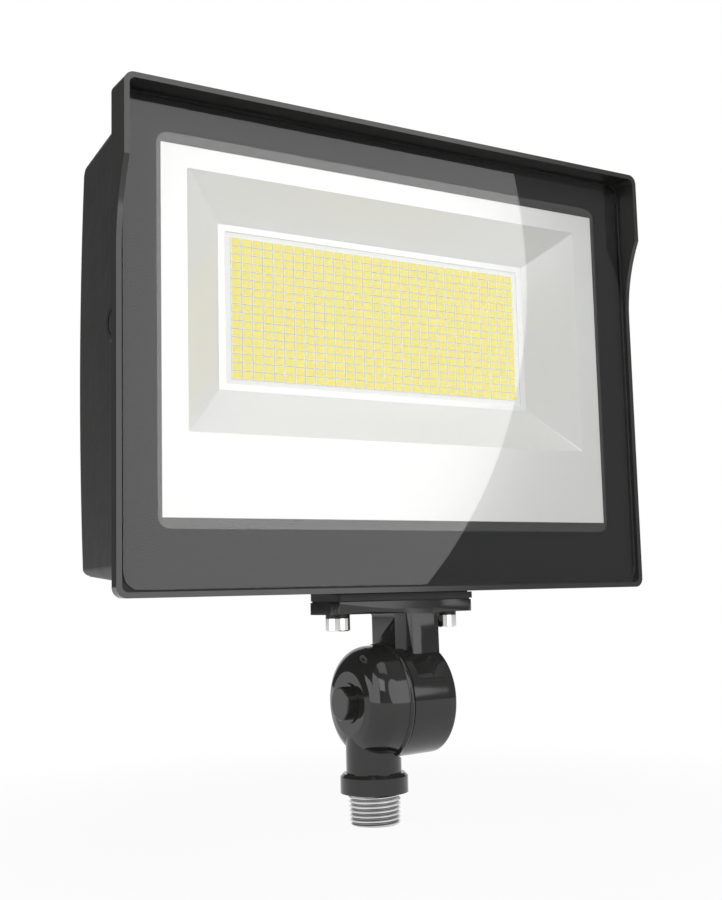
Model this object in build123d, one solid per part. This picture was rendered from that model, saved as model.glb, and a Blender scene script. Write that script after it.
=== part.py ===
"""LED floodlight: die-cast head with a short hood on a tilting knuckle.

Millimetres, +Z up, front of the lamp towards -Y. The origin is on the axis of
the threaded nipple, at the collar's lower face. The head is symmetrical about
the plane x = HEAD_X and its heights are measured from the middle of the window.
"""
import os
from math import atan, cos, degrees, pi, sin

from build123d import *

# head position
HEAD_X = 10.8
WINDOW_Z = 179.1

# frame, hood and glass
FRAME_W = 250.0
FRAME_TOP = 90.5
FRAME_BOTTOM = -99.9
FRAME_H = FRAME_TOP - FRAME_BOTTOM
FRAME_MID = (FRAME_TOP + FRAME_BOTTOM) / 2
FRAME_R = 4.0
FRAME_WALL = 2.1
HOOD_FRONT = -25.0
RIM_FRONT = -16.5
RIM_BACK = -11.6
WING_KINK = 59.3
WING_FOOT = 24.9
GLASS_T = 4.0
GLASS_BACK = -11.45
GLASS_GAP = 0.8
GLASS_R = 6.5
BEAD_T = 0.5
LEDGE_T = 3.0
LEDGE_FRONT = GLASS_BACK + BEAD_T
LEDGE_BACK = LEDGE_FRONT + LEDGE_T
LEDGE_INSET = 2.6
LEDGE_OPEN_W = 216.0
LEDGE_OPEN_H = 150.0

# reflector
TRAY_W = 191.1
TRAY_H = 101.3
TRAY_MID = 11.7
ARRAY_OPEN_W = 151.5
ARRAY_OPEN_H = 65.9
ARRAY_MID = 13.8
SHEET = 0.9
LIP_OPEN_W = 146.4
LIP_OPEN_H = 61.6

# light board
BOARD_FRONT = 3.9
BOARD_T = 1.6
BOARD_W = 176.0
BOARD_H = 80.0
PAD_T = 0.4
BOARD_SCREW_X = 84.0
BOARD_SCREW_DZ = 32.0

# rear housing
SEAL_T = 0.8
HOUSING_FRONT = LEDGE_BACK + SEAL_T
HOUSING_HALF_W = 120.9
HOUSING_TOP = 81.5
HOUSING_BOTTOM = -94.9
HOUSING_R = 7.0
HOUSING_DRAFT = 4.6
BACK_TOP = (43.5, 73.0)
BACK_MID = (49.3, 5.3)
BACK_LOW = (44.2, -86.5)
BACK_TOP_SHOULDER = (37.0, 80.5)
BACK_CORNER_R = 4.0
CHAMBER_WALL = 16.9
CHAMBER_HALF_W = HOUSING_HALF_W - CHAMBER_WALL
CHAMBER_TOP = 68.0
CHAMBER_BOTTOM = -86.0
BASE_FRONT = BOARD_FRONT + BOARD_T + PAD_T
BASE_T = 4.1
BAY_TOP = -54.0
BAY_BACK = 27.0
BAY_WALL = 3.0
FIN_COUNT = 17
FIN_TIP_T = 1.8
FIN_ROOT_T = 3.0
SIDE_WALL_T = 3.2

# frame screws, M4
FRAME_SCREW_R = 2.0
FRAME_SCREW_SEAT = -1.2
FRAME_SCREW_TIP = LEDGE_FRONT + 0.6
FRAME_HEAD_R = 3.5
FRAME_HEAD_H = 4.0
POCKET_R = 3.8
COLUMN_R = 5.7
SIDE_SCREW_X = CHAMBER_HALF_W + COLUMN_R + 1.3
SIDE_SCREW_Z = (62.0, -14.0, -72.0)
LOW_SCREW_X = 84.0
LOW_SCREW_Z = HOUSING_BOTTOM + 9.9
FRAME_SCREWS = [(side * SIDE_SCREW_X, z) for side in (-1, 1) for z in SIDE_SCREW_Z]
FRAME_SCREWS += [(side * LOW_SCREW_X, LOW_SCREW_Z) for side in (-1, 1)]

# cast boss and breather plug on the left side
VENT_Y = -1.95
VENT_Z = 2.4
VENT_BOSS_R = 7.5
VENT_BOSS_X = -HOUSING_HALF_W - 0.3
VENT_SEAT_X = VENT_BOSS_X + 3.0
VENT_CAP_R = 4.8
VENT_CAP_T = 2.0
VENT_SHANK_R = 3.0
VENT_SHANK_L = 13.9
VENT_RING_T = 0.7
VENT_HOLE_R = 0.9

# mounting pad and knuckle flange
PAD_W = 66.6
PAD_FRONT = -12.1
PAD_BACK = 11.1
PAD_FOOT_Z = 76.3
FLANGE_SEAL_T = 0.5
FLANGE_W = 67.7
FLANGE_D = 21.2
FLANGE_T = 4.9
FLANGE_R = 2.7
FLANGE_TOP = PAD_FOOT_Z - FLANGE_SEAL_T
FLANGE_FOOT = FLANGE_TOP - FLANGE_T
FLANGE_SCREW_DX = 26.1
FLANGE_SCREW_R = 3.0
FLANGE_HEAD_R = 5.0
FLANGE_HEAD_H = 5.0
SPRING_WASHER_T = 1.6
WIREWAY_X = 15.2
WIREWAY_R = 5.0
GROMMET_WALL = 1.2

# knuckle
HINGE_Z = 35.6
SEAM_X = 5.8
SEAM_GAP = 0.4
DRUM_R = 22.1
DRUM_SEAM_R = 22.8
DRUM_EDGE_R = 1.6
BEAD_R = 23.6
BEAD_W = 2.2
DRUM_RIGHT = 26.8
DOME_START = (-1.5, 22.4)
DOME_MID = (-7.4, 20.2)
DOME_END = (-10.6, 15.6)
DOME_FACE_X = -11.3
BOLT_BOSS_R = 8.0
BOLT_BOSS_X = -12.1
CUP_R = 15.0
HUB_R = 7.0
NECK_X = 17.2
NECK_TOP_Z = 72.6
NECK_TOP_HALF = (7.3, 13.9)
NECK_LOW_Z = 47.0
NECK_LOW_HALF = (4.8, 17.9)
NECK_R = 3.8
NECK_FILLET = 3.0
SEAL_R_IN = 16.2
SEAL_R_OUT = 20.0
SEAL_DEEP = 1.2
STEM_R = 11.15
COLLAR_R = 13.65
COLLAR_H = 7.7
COLLAR_CHAMFER = 1.3

# pivot bolt, M8
BOLT_R = 4.0
BOLT_HEAD_R = 6.6
BOLT_HEAD_H = 3.4
NUT_AF = 13.0
NUT_H = 6.5
NUT_RECESS_R = 8.4
PIVOT_WASHER_T = 1.6

# threaded nipple, half-inch straight pipe thread
THREAD_R = 10.65
THREAD_L = 12.4
THREAD_LEAD = 0.7
NIPPLE_BORE_R = 7.6
NIPPLE_SHANK_R = 9.4
NIPPLE_SHANK_L = 11.0

# clearances
SHAFT_CLEAR = 0.05
THREAD_CLEAR = 0.05
SWING_CLEAR = 0.6

BACKWARD = Plane(origin=(0, 0, 0), x_dir=(-1, 0, 0), z_dir=(0, 1, 0))
SIDEWAYS = Plane(origin=(0, 0, 0), x_dir=(0, 1, 0), z_dir=(1, 0, 0))


def slab(sketch, front, back, taper=0.0):
    """Solid between two depths, its outline drawn in x and z."""
    return extrude(BACKWARD.offset(front) * sketch, amount=back - front, taper=taper)


def outline(width, height, radius, mid=0.0):
    return Pos(0, mid) * RectangleRounded(width, height, radius)


def rod_y(x, z, radius, front, back):
    """Round bar along the depth."""
    return Pos(x, (front + back) / 2, z) * Rot(90, 0, 0) * Cylinder(radius, back - front)


def rod_z(x, y, radius, low, high):
    return Pos(x, y, (low + high) / 2) * Cylinder(radius, high - low)


def rod_x(radius, left, right, y=0.0, z=HINGE_Z):
    return Pos((left + right) / 2, y, z) * Rot(0, 90, 0) * Cylinder(radius, right - left)


def block(x_range, y_range, z_range):
    size = [high - low for low, high in (x_range, y_range, z_range)]
    mid = [(low + high) / 2 for low, high in (x_range, y_range, z_range)]
    return Pos(*mid) * Box(*size)


def spun(lines):
    """Turned piece about the hinge axis from a closed outline in x and radius."""
    return Pos(0, 0, HINGE_Z) * revolve(make_face(Plane.XZ * lines), Axis.X, 360)


def on_head(shape):
    return Pos(HEAD_X, 0, WINDOW_Z) * shape


def side_prism(lines, half_width):
    """Extrusion along x of a closed outline drawn in (y, z)."""
    return extrude(make_face(SIDEWAYS * lines), amount=half_width, both=True)


def front_frame():
    shell = slab(outline(FRAME_W, FRAME_H, FRAME_R, FRAME_MID), HOOD_FRONT, RIM_BACK)
    rear_taper = degrees(atan(LEDGE_INSET / (LEDGE_BACK - RIM_BACK)))
    shell += slab(outline(FRAME_W, FRAME_H, FRAME_R, FRAME_MID), RIM_BACK, LEDGE_BACK, rear_taper)
    pocket = outline(FRAME_W - 2 * FRAME_WALL, FRAME_H - 2 * FRAME_WALL, FRAME_R - 1.6, FRAME_MID)
    shell -= slab(pocket, HOOD_FRONT - 1, LEDGE_FRONT)
    shell -= slab(outline(LEDGE_OPEN_W, LEDGE_OPEN_H, 5), LEDGE_FRONT - 1, LEDGE_BACK + 1)
    shell -= below_the_wings()
    for x, z in FRAME_SCREWS:
        shell -= rod_y(x, z, FRAME_SCREW_R + THREAD_CLEAR, FRAME_SCREW_TIP - 0.1, LEDGE_BACK + 1)
    return shell


def below_the_wings():
    """Cuts the hood's sides back to the rim along an arc that meets the rim tangentially."""
    drop = WING_KINK - WING_FOOT
    depth = RIM_FRONT - HOOD_FRONT
    radius = (drop ** 2 + depth ** 2) / (2 * depth)
    turn = atan(drop / (radius - depth))
    mid = (RIM_FRONT - radius + radius * cos(turn / 2), WING_FOOT + radius * sin(turn / 2))
    front = HOOD_FRONT - 10
    low = FRAME_BOTTOM - 10
    arc = ThreePointArc((RIM_FRONT, WING_FOOT), mid, (HOOD_FRONT, WING_KINK))
    rest = Polyline((HOOD_FRONT, WING_KINK), (front, WING_KINK), (front, low), (RIM_FRONT, low), (RIM_FRONT, WING_FOOT))
    return side_prism(arc + rest, FRAME_W)


def glass_outline():
    inner_w = FRAME_W - 2 * (FRAME_WALL + GLASS_GAP)
    inner_h = FRAME_H - 2 * (FRAME_WALL + GLASS_GAP)
    return outline(inner_w, inner_h, GLASS_R, FRAME_MID)


def glass_lens():
    return slab(glass_outline(), GLASS_BACK - GLASS_T, GLASS_BACK)


def lens_gasket():
    pocket = outline(FRAME_W - 2 * FRAME_WALL, FRAME_H - 2 * FRAME_WALL, FRAME_R - 1.6, FRAME_MID)
    bead = slab(pocket, GLASS_BACK - 0.6 * GLASS_T, LEDGE_FRONT)
    bead -= slab(glass_outline(), GLASS_BACK - GLASS_T, GLASS_BACK)
    return bead - slab(outline(LEDGE_OPEN_W, LEDGE_OPEN_H, 5), GLASS_BACK - 1, LEDGE_FRONT + 1)


def tray_loft(grow):
    """Sloping well of the reflector, from the front plate to the board."""
    front = outline(TRAY_W + 2 * grow, TRAY_H + 2 * grow, 0.6 + grow, TRAY_MID)
    back = outline(ARRAY_OPEN_W + 2 * grow, ARRAY_OPEN_H + 2 * grow, 0.6 + grow, ARRAY_MID)
    return loft([BACKWARD.offset(GLASS_BACK + 0.1) * front, BACKWARD.offset(BOARD_FRONT) * back], ruled=True)


def reflector():
    plate = outline(LEDGE_OPEN_W - 1.2, LEDGE_OPEN_H - 1.2, 4.5)
    tray = slab(plate, GLASS_BACK + 0.1, GLASS_BACK + 0.1 + SHEET) + tray_loft(SHEET)
    tray -= tray_loft(0)
    lip = outline(ARRAY_OPEN_W + SHEET, ARRAY_OPEN_H + SHEET, 0.6, ARRAY_MID)
    tray += slab(lip, BOARD_FRONT - SHEET / 2, BOARD_FRONT)
    return tray - slab(outline(LIP_OPEN_W, LIP_OPEN_H, 0.5, ARRAY_MID), BOARD_FRONT - SHEET, BOARD_FRONT + 1)


def board_screw_points():
    return [(x, ARRAY_MID + dz) for x in (-BOARD_SCREW_X, BOARD_SCREW_X) for dz in (-BOARD_SCREW_DZ, 0, BOARD_SCREW_DZ)]


def board_sheet(front, thickness):
    sheet = slab(outline(BOARD_W, BOARD_H, 3, ARRAY_MID), front, front + thickness)
    for x, z in board_screw_points():
        sheet -= rod_y(x, z, 1.7, front - 1, front + thickness + 1)
    return sheet


def board_screws():
    tip = BASE_FRONT + BASE_T - 0.8
    return [rod_y(x, z, 1.5, BOARD_FRONT, tip) + rod_y(x, z, 2.75, BOARD_FRONT - 1.9, BOARD_FRONT)
            for x, z in board_screw_points()]


def board_plug():
    z = ARRAY_MID + BOARD_SCREW_DZ / 2
    body = block((81.6, 87.4), (BOARD_FRONT - 3.0, BOARD_FRONT), (z - 4.5, z + 4.5))
    return body - block((82.6, 86.4), (BOARD_FRONT - 3.5, BOARD_FRONT - 1.0), (z + 1.0, z + 6))


def back_profile():
    """Side view behind the frame: level top, bowed back, rounded lower edge."""
    front = HOUSING_FRONT - 2
    top = Polyline(BACK_TOP, BACK_TOP_SHOULDER, (front, HOUSING_TOP + 8), (front, HOUSING_BOTTOM - 8))
    foot_y = BACK_LOW[0] - BACK_CORNER_R
    foot_z = BACK_LOW[1] - BACK_CORNER_R
    foot = Polyline((front, HOUSING_BOTTOM - 8), (foot_y, foot_z - 6), (foot_y, foot_z))
    corner = ThreePointArc((foot_y, foot_z), (foot_y + 0.71 * BACK_CORNER_R, foot_z + 0.29 * BACK_CORNER_R), BACK_LOW)
    bow = ThreePointArc(BACK_LOW, BACK_MID, BACK_TOP)
    return top + foot + corner + bow


def housing_envelope():
    height = HOUSING_TOP - HOUSING_BOTTOM
    mid = (HOUSING_TOP + HOUSING_BOTTOM) / 2
    drafted = slab(outline(2 * HOUSING_HALF_W, height, HOUSING_R, mid), HOUSING_FRONT, BACK_MID[0] + 1, HOUSING_DRAFT)
    return drafted & side_prism(back_profile(), FRAME_W)


def fin_gaps():
    """Wedge-shaped gaps between the upright fins, shallower behind the driver bay."""
    inner = HOUSING_HALF_W - 4.3 - SIDE_WALL_T
    pitch = (2 * inner + FIN_TIP_T) / (FIN_COUNT + 1)
    root = BASE_FRONT + BASE_T
    mouth = BACK_MID[0] + 2
    half_root = (pitch - FIN_ROOT_T) / 2
    half_mouth = (pitch - FIN_TIP_T) / 2
    wedges = []
    for i in range(FIN_COUNT + 1):
        x = (i - FIN_COUNT / 2) * pitch
        points = [(x - half_root, root), (x + half_root, root), (x + half_mouth, mouth), (x - half_mouth, mouth)]
        wedges.append(extrude(make_face(Polyline(*points, close=True)), amount=FRAME_H, both=True))
    bay_root = BAY_BACK + BAY_WALL
    top = HOUSING_TOP + 10
    low = HOUSING_BOTTOM - 10
    step = Polyline((root, top), (mouth, top), (mouth, low), (bay_root, low),
                    (bay_root, BAY_TOP + 2), (root, BAY_TOP + 14), close=True)
    return (Part() + wedges) & side_prism(step, FRAME_W)


def mounting_pad():
    z_foot = PAD_FOOT_Z - WINDOW_Z
    depth = PAD_BACK - PAD_FRONT
    face = Pos(0, (PAD_FRONT + PAD_BACK) / 2) * RectangleRounded(PAD_W, depth, FLANGE_R)
    pad = extrude(Plane.XY.offset(z_foot) * face, amount=HOUSING_BOTTOM + 2 - z_foot)
    under_frame = block((-PAD_W, PAD_W), (PAD_FRONT - 5, HOUSING_FRONT), (FRAME_BOTTOM - 0.3, 0))
    return pad - under_frame


def rear_housing():
    body = housing_envelope() - fin_gaps()
    envelope = housing_envelope()
    floor = (CHAMBER_BOTTOM + CHAMBER_TOP) / 2
    chamber = outline(2 * CHAMBER_HALF_W, CHAMBER_TOP - CHAMBER_BOTTOM, 5, floor)
    body -= slab(chamber, HOUSING_FRONT - 1, BASE_FRONT)
    bay_mid = (CHAMBER_BOTTOM + BAY_TOP) / 2
    body -= slab(outline(2 * CHAMBER_HALF_W, BAY_TOP - CHAMBER_BOTTOM, 5, bay_mid), HOUSING_FRONT - 1, BAY_BACK)
    columns = [rod_y(x, z, COLUMN_R, HOUSING_FRONT, BACK_MID[0] + 1) for x, z in FRAME_SCREWS]
    body += Compound(children=columns) & envelope
    body += mounting_pad()
    body += vent_boss()
    for x, z in FRAME_SCREWS:
        body -= rod_y(x, z, FRAME_SCREW_R + 0.2, HOUSING_FRONT - 1, FRAME_SCREW_SEAT)
        body -= rod_y(x, z, POCKET_R, FRAME_SCREW_SEAT, BACK_MID[0] + 2)
    for x, z in board_screw_points():
        body -= rod_y(x, z, 1.5 + THREAD_CLEAR, BASE_FRONT - 1, BASE_FRONT + BASE_T - 0.7)
    for x, z in driver_screw_points():
        body -= rod_y(x, z, 1.5 + THREAD_CLEAR, BAY_BACK - 1, BAY_BACK + BAY_WALL - 0.6)
    foot = PAD_FOOT_Z - WINDOW_Z
    body -= rod_z(WIREWAY_X - HEAD_X, 0, WIREWAY_R + GROMMET_WALL, foot - 1, CHAMBER_BOTTOM + 1)
    for x in (-FLANGE_SCREW_DX, FLANGE_SCREW_DX):
        body -= rod_z(x, 0, FLANGE_SCREW_R + THREAD_CLEAR, foot - 1, CHAMBER_BOTTOM - 2)
    body -= rod_z(EARTH_X, EARTH_Y, 2.0 + THREAD_CLEAR, CHAMBER_BOTTOM - 5, CHAMBER_BOTTOM + 1)
    body -= vent_hole()
    return body


def vent_boss():
    boss = rod_x(VENT_BOSS_R, VENT_BOSS_X, -CHAMBER_HALF_W - 1, VENT_Y, VENT_Z)
    boss = chamfer(boss.edges().group_by(Axis.X)[0], 0.5)
    return boss - block((-FRAME_W, 0), (VENT_Y - VENT_BOSS_R - 1, HOUSING_FRONT), (VENT_Z - 10, VENT_Z + 10))


def vent_hole():
    seat = rod_x(VENT_CAP_R + 0.2, VENT_BOSS_X - 1, VENT_SEAT_X, VENT_Y, VENT_Z)
    return seat + rod_x(VENT_SHANK_R + THREAD_CLEAR, VENT_SEAT_X - 1, -CHAMBER_HALF_W + 1, VENT_Y, VENT_Z)


def vent_plug():
    low = VENT_SEAT_X - VENT_RING_T
    cap = rod_x(VENT_CAP_R, low - VENT_CAP_T, low, VENT_Y, VENT_Z)
    shank = rod_x(VENT_SHANK_R, low, low + VENT_SHANK_L, VENT_Y, VENT_Z)
    return cap + shank - rod_x(VENT_HOLE_R, low, low + VENT_SHANK_L + 1, VENT_Y, VENT_Z)


def vent_ring():
    ring = rod_x(VENT_CAP_R - 0.3, VENT_SEAT_X - VENT_RING_T, VENT_SEAT_X, VENT_Y, VENT_Z)
    return ring - rod_x(VENT_SHANK_R + THREAD_CLEAR, VENT_SEAT_X - 1, VENT_SEAT_X + 1, VENT_Y, VENT_Z)


def frame_gasket():
    height = HOUSING_TOP - HOUSING_BOTTOM - 3
    mid = (HOUSING_TOP + HOUSING_BOTTOM) / 2
    ring = slab(outline(2 * HOUSING_HALF_W - 3, height, HOUSING_R - 1.5, mid), LEDGE_BACK, HOUSING_FRONT)
    inner_top = LEDGE_OPEN_H / 2
    inner_low = CHAMBER_BOTTOM
    inner = outline(LEDGE_OPEN_W, inner_top - inner_low, 5, (inner_top + inner_low) / 2)
    ring -= slab(inner, LEDGE_BACK - 1, HOUSING_FRONT + 1)
    for x, z in FRAME_SCREWS:
        ring -= rod_y(x, z, FRAME_SCREW_R + 0.2, LEDGE_BACK - 1, HOUSING_FRONT + 1)
    return ring


def frame_screws():
    screws = []
    for x, z in FRAME_SCREWS:
        screw = rod_y(x, z, FRAME_SCREW_R, FRAME_SCREW_TIP, FRAME_SCREW_SEAT)
        screw += rod_y(x, z, FRAME_HEAD_R, FRAME_SCREW_SEAT, FRAME_SCREW_SEAT + FRAME_HEAD_H)
        socket = extrude(BACKWARD.offset(FRAME_SCREW_SEAT + FRAME_HEAD_H - 2) * Pos(-x, z) * RegularPolygon(1.7, 6), amount=3)
        screws.append(screw - socket)
    return screws


# driver bay contents
TERMINAL_L = 21.0
TERMINAL_LEFT = -CHAMBER_HALF_W + 5.0
TERMINAL_Z = (-74.0, -60.0)
TERMINAL_DEEP = 14.0
TERMINAL_PITCH = 6.5
DRIVER_HALF_L = 62.0
DRIVER_Y = (-3.0, BAY_BACK)
DRIVER_Z = (-79.5, -56.0)
DRIVER_EAR = 9.0
DRIVER_X = TERMINAL_LEFT + TERMINAL_L + 7.0 + DRIVER_HALF_L + DRIVER_EAR
EARTH_X = 44.0
EARTH_Y = 4.0


def driver_screw_points():
    z = (DRIVER_Z[0] + DRIVER_Z[1]) / 2
    x = DRIVER_HALF_L + DRIVER_EAR / 2
    return [(DRIVER_X - x, z), (DRIVER_X + x, z)]


def driver():
    case = block((DRIVER_X - DRIVER_HALF_L, DRIVER_X + DRIVER_HALF_L), DRIVER_Y, DRIVER_Z)
    case = fillet(case.edges().filter_by(Axis.X), 2)
    reach = DRIVER_HALF_L + DRIVER_EAR
    case += block((DRIVER_X - reach, DRIVER_X + reach), (BAY_BACK - 1.5, BAY_BACK), (DRIVER_Z[0] + 5, DRIVER_Z[1] - 5))
    for x, z in driver_screw_points():
        case -= rod_y(x, z, 1.7, BAY_BACK - 3, BAY_BACK + 1)
    return case


def driver_screws():
    front = BAY_BACK - 1.5
    return [rod_y(x, z, 1.5, front, BAY_BACK + BAY_WALL - 0.7) + rod_y(x, z, 2.75, front - 1.9, front)
            for x, z in driver_screw_points()]


def terminal_block():
    low, high = TERMINAL_Z
    front = BAY_BACK - TERMINAL_DEEP
    body = block((TERMINAL_LEFT, TERMINAL_LEFT + TERMINAL_L), (front, BAY_BACK), TERMINAL_Z)
    for i in range(3):
        x = TERMINAL_LEFT + 4.0 + TERMINAL_PITCH * i
        body -= rod_y(x, (low + high) / 2, 1.6, front - 1, BAY_BACK - 8)
        body -= rod_z(x, BAY_BACK - 6, 1.5, low - 1, low + 4)
    return body


def ground_screw():
    head = rod_z(EARTH_X, EARTH_Y, 4.0, CHAMBER_BOTTOM, CHAMBER_BOTTOM + 2.6)
    slot = block((EARTH_X - 5, EARTH_X + 5), (EARTH_Y - 0.5, EARTH_Y + 0.5), (CHAMBER_BOTTOM + 1.6, CHAMBER_BOTTOM + 3))
    return head + rod_z(EARTH_X, EARTH_Y, 2.0, CHAMBER_BOTTOM - 4.5, CHAMBER_BOTTOM) - slot


def wire_grommet():
    low = PAD_FOOT_Z - WINDOW_Z
    x = WIREWAY_X - HEAD_X
    sleeve = rod_z(x, 0, WIREWAY_R + GROMMET_WALL, low, CHAMBER_BOTTOM)
    sleeve += rod_z(x, 0, WIREWAY_R + 2.4, CHAMBER_BOTTOM, CHAMBER_BOTTOM + 1.5)
    return sleeve - rod_z(x, 0, WIREWAY_R, low - 1, CHAMBER_BOTTOM + 2)


def flange_plate(width, depth, low, high):
    face = Pos(HEAD_X, 0) * RectangleRounded(width, depth, FLANGE_R)
    plate = extrude(Plane.XY.offset(low) * face, amount=high - low)
    for dx in (-FLANGE_SCREW_DX, FLANGE_SCREW_DX):
        plate -= rod_z(HEAD_X + dx, 0, FLANGE_SCREW_R + 0.3, low - 1, high + 1)
    return plate


def flange_gasket():
    sheet = flange_plate(PAD_W - 0.4, FLANGE_D - 0.4, FLANGE_TOP, PAD_FOOT_Z)
    return sheet - rod_z(WIREWAY_X, 0, WIREWAY_R + GROMMET_WALL, FLANGE_TOP - 1, PAD_FOOT_Z + 1)


def neck_section(z, half, radius=NECK_R):
    return Plane.XY.offset(z) * Pos(NECK_X, 0) * RectangleRounded(2 * half[0], 2 * half[1], radius)


def neck_fillets():
    """Hollow curves from the neck's two narrow sides into the flange."""
    fillets = []
    for side in (-1, 1):
        x = NECK_X + side * NECK_TOP_HALF[0]
        turn = NECK_FILLET * (1 - sin(pi / 4))
        corner = Polyline((x, FLANGE_FOOT - NECK_FILLET), (x - side * 2, FLANGE_FOOT - NECK_FILLET),
                          (x - side * 2, FLANGE_FOOT + 1), (x + side * NECK_FILLET, FLANGE_FOOT + 1),
                          (x + side * NECK_FILLET, FLANGE_FOOT))
        curve = ThreePointArc((x + side * NECK_FILLET, FLANGE_FOOT), (x + side * turn, FLANGE_FOOT - turn),
                              (x, FLANGE_FOOT - NECK_FILLET))
        fillets.append(extrude(make_face(Plane.XZ * (corner + curve)), amount=FLANGE_D / 2 - NECK_R, both=True))
    return fillets


def upper_knuckle():
    left = SEAM_X + SEAM_GAP / 2
    body = flange_plate(FLANGE_W, FLANGE_D, FLANGE_FOOT, FLANGE_TOP)
    body += loft([neck_section(NECK_LOW_Z, NECK_LOW_HALF), neck_section(NECK_TOP_Z, NECK_TOP_HALF)])
    shoulder = (NECK_TOP_HALF[0], FLANGE_D / 2)
    body += loft([neck_section(NECK_TOP_Z, NECK_TOP_HALF), neck_section(FLANGE_TOP, shoulder)])
    body += neck_fillets()
    drum = Polyline((DRUM_RIGHT, DRUM_R - DRUM_EDGE_R), (DRUM_RIGHT, 0), (left, 0), (left, DRUM_SEAM_R),
                    (DRUM_RIGHT - DRUM_EDGE_R, DRUM_R))
    turn = DRUM_EDGE_R * (1 - sin(pi / 4))
    edge = ThreePointArc((DRUM_RIGHT - DRUM_EDGE_R, DRUM_R), (DRUM_RIGHT - turn, DRUM_R - turn),
                         (DRUM_RIGHT, DRUM_R - DRUM_EDGE_R))
    body += spun(drum + edge)
    cup = rod_x(CUP_R, left - 1, DRUM_RIGHT - 9)
    body -= cup - rod_x(HUB_R, left - 2, DRUM_RIGHT)
    body -= rod_x(BOLT_R + SHAFT_CLEAR, left - 1, DRUM_RIGHT + 1)
    body -= rod_x(NUT_RECESS_R, DRUM_RIGHT - NUT_H - PIVOT_WASHER_T, DRUM_RIGHT + 1)
    return body - rod_z(WIREWAY_X, 0, WIREWAY_R, HINGE_Z + HUB_R + 1, FLANGE_TOP + 1)


def flange_screws():
    seat = FLANGE_FOOT - SPRING_WASHER_T
    tip = CHAMBER_BOTTOM - 3 + WINDOW_Z
    screws = []
    for dx in (-FLANGE_SCREW_DX, FLANGE_SCREW_DX):
        x = HEAD_X + dx
        head = rod_z(x, 0, FLANGE_HEAD_R, seat - FLANGE_HEAD_H, seat)
        head = chamfer(head.edges().group_by(Axis.Z)[0], 0.4)
        socket = extrude(Plane.XY.offset(seat - FLANGE_HEAD_H) * Pos(x, 0) * RegularPolygon(2.9, 6), amount=3)
        screws.append(head + rod_z(x, 0, FLANGE_SCREW_R, seat, tip) - socket)
    return screws


def flange_washers():
    low = FLANGE_FOOT - SPRING_WASHER_T
    washers = []
    for dx in (-FLANGE_SCREW_DX, FLANGE_SCREW_DX):
        x = HEAD_X + dx
        washers.append(rod_z(x, 0, FLANGE_HEAD_R - 0.1, low, FLANGE_FOOT) - rod_z(x, 0, FLANGE_SCREW_R + 0.1, low - 1, FLANGE_FOOT + 1))
    return washers


def lower_knuckle():
    right = SEAM_X - SEAM_GAP / 2
    bead_left = right - BEAD_W
    bead = ThreePointArc((right, DRUM_SEAM_R - 0.1), (right - BEAD_W / 2, BEAD_R), (bead_left, DRUM_SEAM_R - 0.1))
    dome = Line((bead_left, DRUM_SEAM_R - 0.1), DOME_START) + ThreePointArc(DOME_START, DOME_MID, DOME_END)
    face = Polyline(DOME_END, (DOME_FACE_X, BOLT_BOSS_R + 4.5), (DOME_FACE_X, BOLT_BOSS_R), (BOLT_BOSS_X, BOLT_BOSS_R),
                    (BOLT_BOSS_X, 0), (right, 0), (right, DRUM_SEAM_R - 0.1))
    body = spun(bead + dome + face)
    stem = rod_z(0, 0, STEM_R, COLLAR_H - 1, HINGE_Z)
    swing = rod_x(DRUM_SEAM_R + SWING_CLEAR, right, DRUM_RIGHT)
    body += stem - swing
    collar = rod_z(0, 0, COLLAR_R, 0, COLLAR_H)
    body += chamfer(collar.edges().group_by(Axis.Z)[-1], COLLAR_CHAMFER)
    body -= rod_x(CUP_R, -4.0, right + 1) - rod_x(HUB_R, -5.0, right + 2)
    body -= rod_x(SEAL_R_OUT, right - SEAL_DEEP, right + 1) - rod_x(SEAL_R_IN, right - 2, right + 2)
    body -= rod_x(BOLT_R + SHAFT_CLEAR, BOLT_BOSS_X - 1, right + 1)
    body -= rod_z(0, 0, NIPPLE_SHANK_R, -1, NIPPLE_SHANK_L)
    return body - rod_z(-2.0, 0, 5.2, NIPPLE_SHANK_L - 1, HINGE_Z - HUB_R - 1)


def knuckle_seal():
    right = SEAM_X - SEAM_GAP / 2
    return rod_x(SEAL_R_OUT, right - SEAL_DEEP, right + 0.1) - rod_x(SEAL_R_IN, right - 2, right + 1)


def pivot_bolt():
    seat = BOLT_BOSS_X
    head = rod_x(BOLT_HEAD_R, seat - BOLT_HEAD_H, seat)
    head = fillet(head.edges().group_by(Axis.X)[0], 0.5)
    return head + rod_x(BOLT_R, seat, DRUM_RIGHT - 0.6)


def pivot_washer():
    left = DRUM_RIGHT - NUT_H - PIVOT_WASHER_T + 0.3
    return rod_x(NUT_RECESS_R - 0.6, left, left + PIVOT_WASHER_T) - rod_x(BOLT_R + SHAFT_CLEAR, left - 1, left + 3)


def pivot_nut():
    left = DRUM_RIGHT - NUT_H + 0.3
    face = Plane(origin=(left, 0, HINGE_Z), x_dir=(0, 1, 0), z_dir=(1, 0, 0)) * RegularPolygon(NUT_AF / 2 / cos(pi / 6), 6)
    nut = extrude(face, amount=NUT_H - 0.6)
    return nut - rod_x(BOLT_R + SHAFT_CLEAR, left - 1, DRUM_RIGHT + 1)


def threaded_nipple():
    profile = [(NIPPLE_BORE_R, -THREAD_L), (THREAD_R - THREAD_LEAD, -THREAD_L), (THREAD_R, THREAD_LEAD - THREAD_L),
               (THREAD_R, 0), (NIPPLE_SHANK_R, 0), (NIPPLE_SHANK_R, NIPPLE_SHANK_L), (NIPPLE_BORE_R, NIPPLE_SHANK_L)]
    return revolve(make_face(Plane.XZ * Polyline(*profile, close=True)), Axis.Z, 360)


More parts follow.
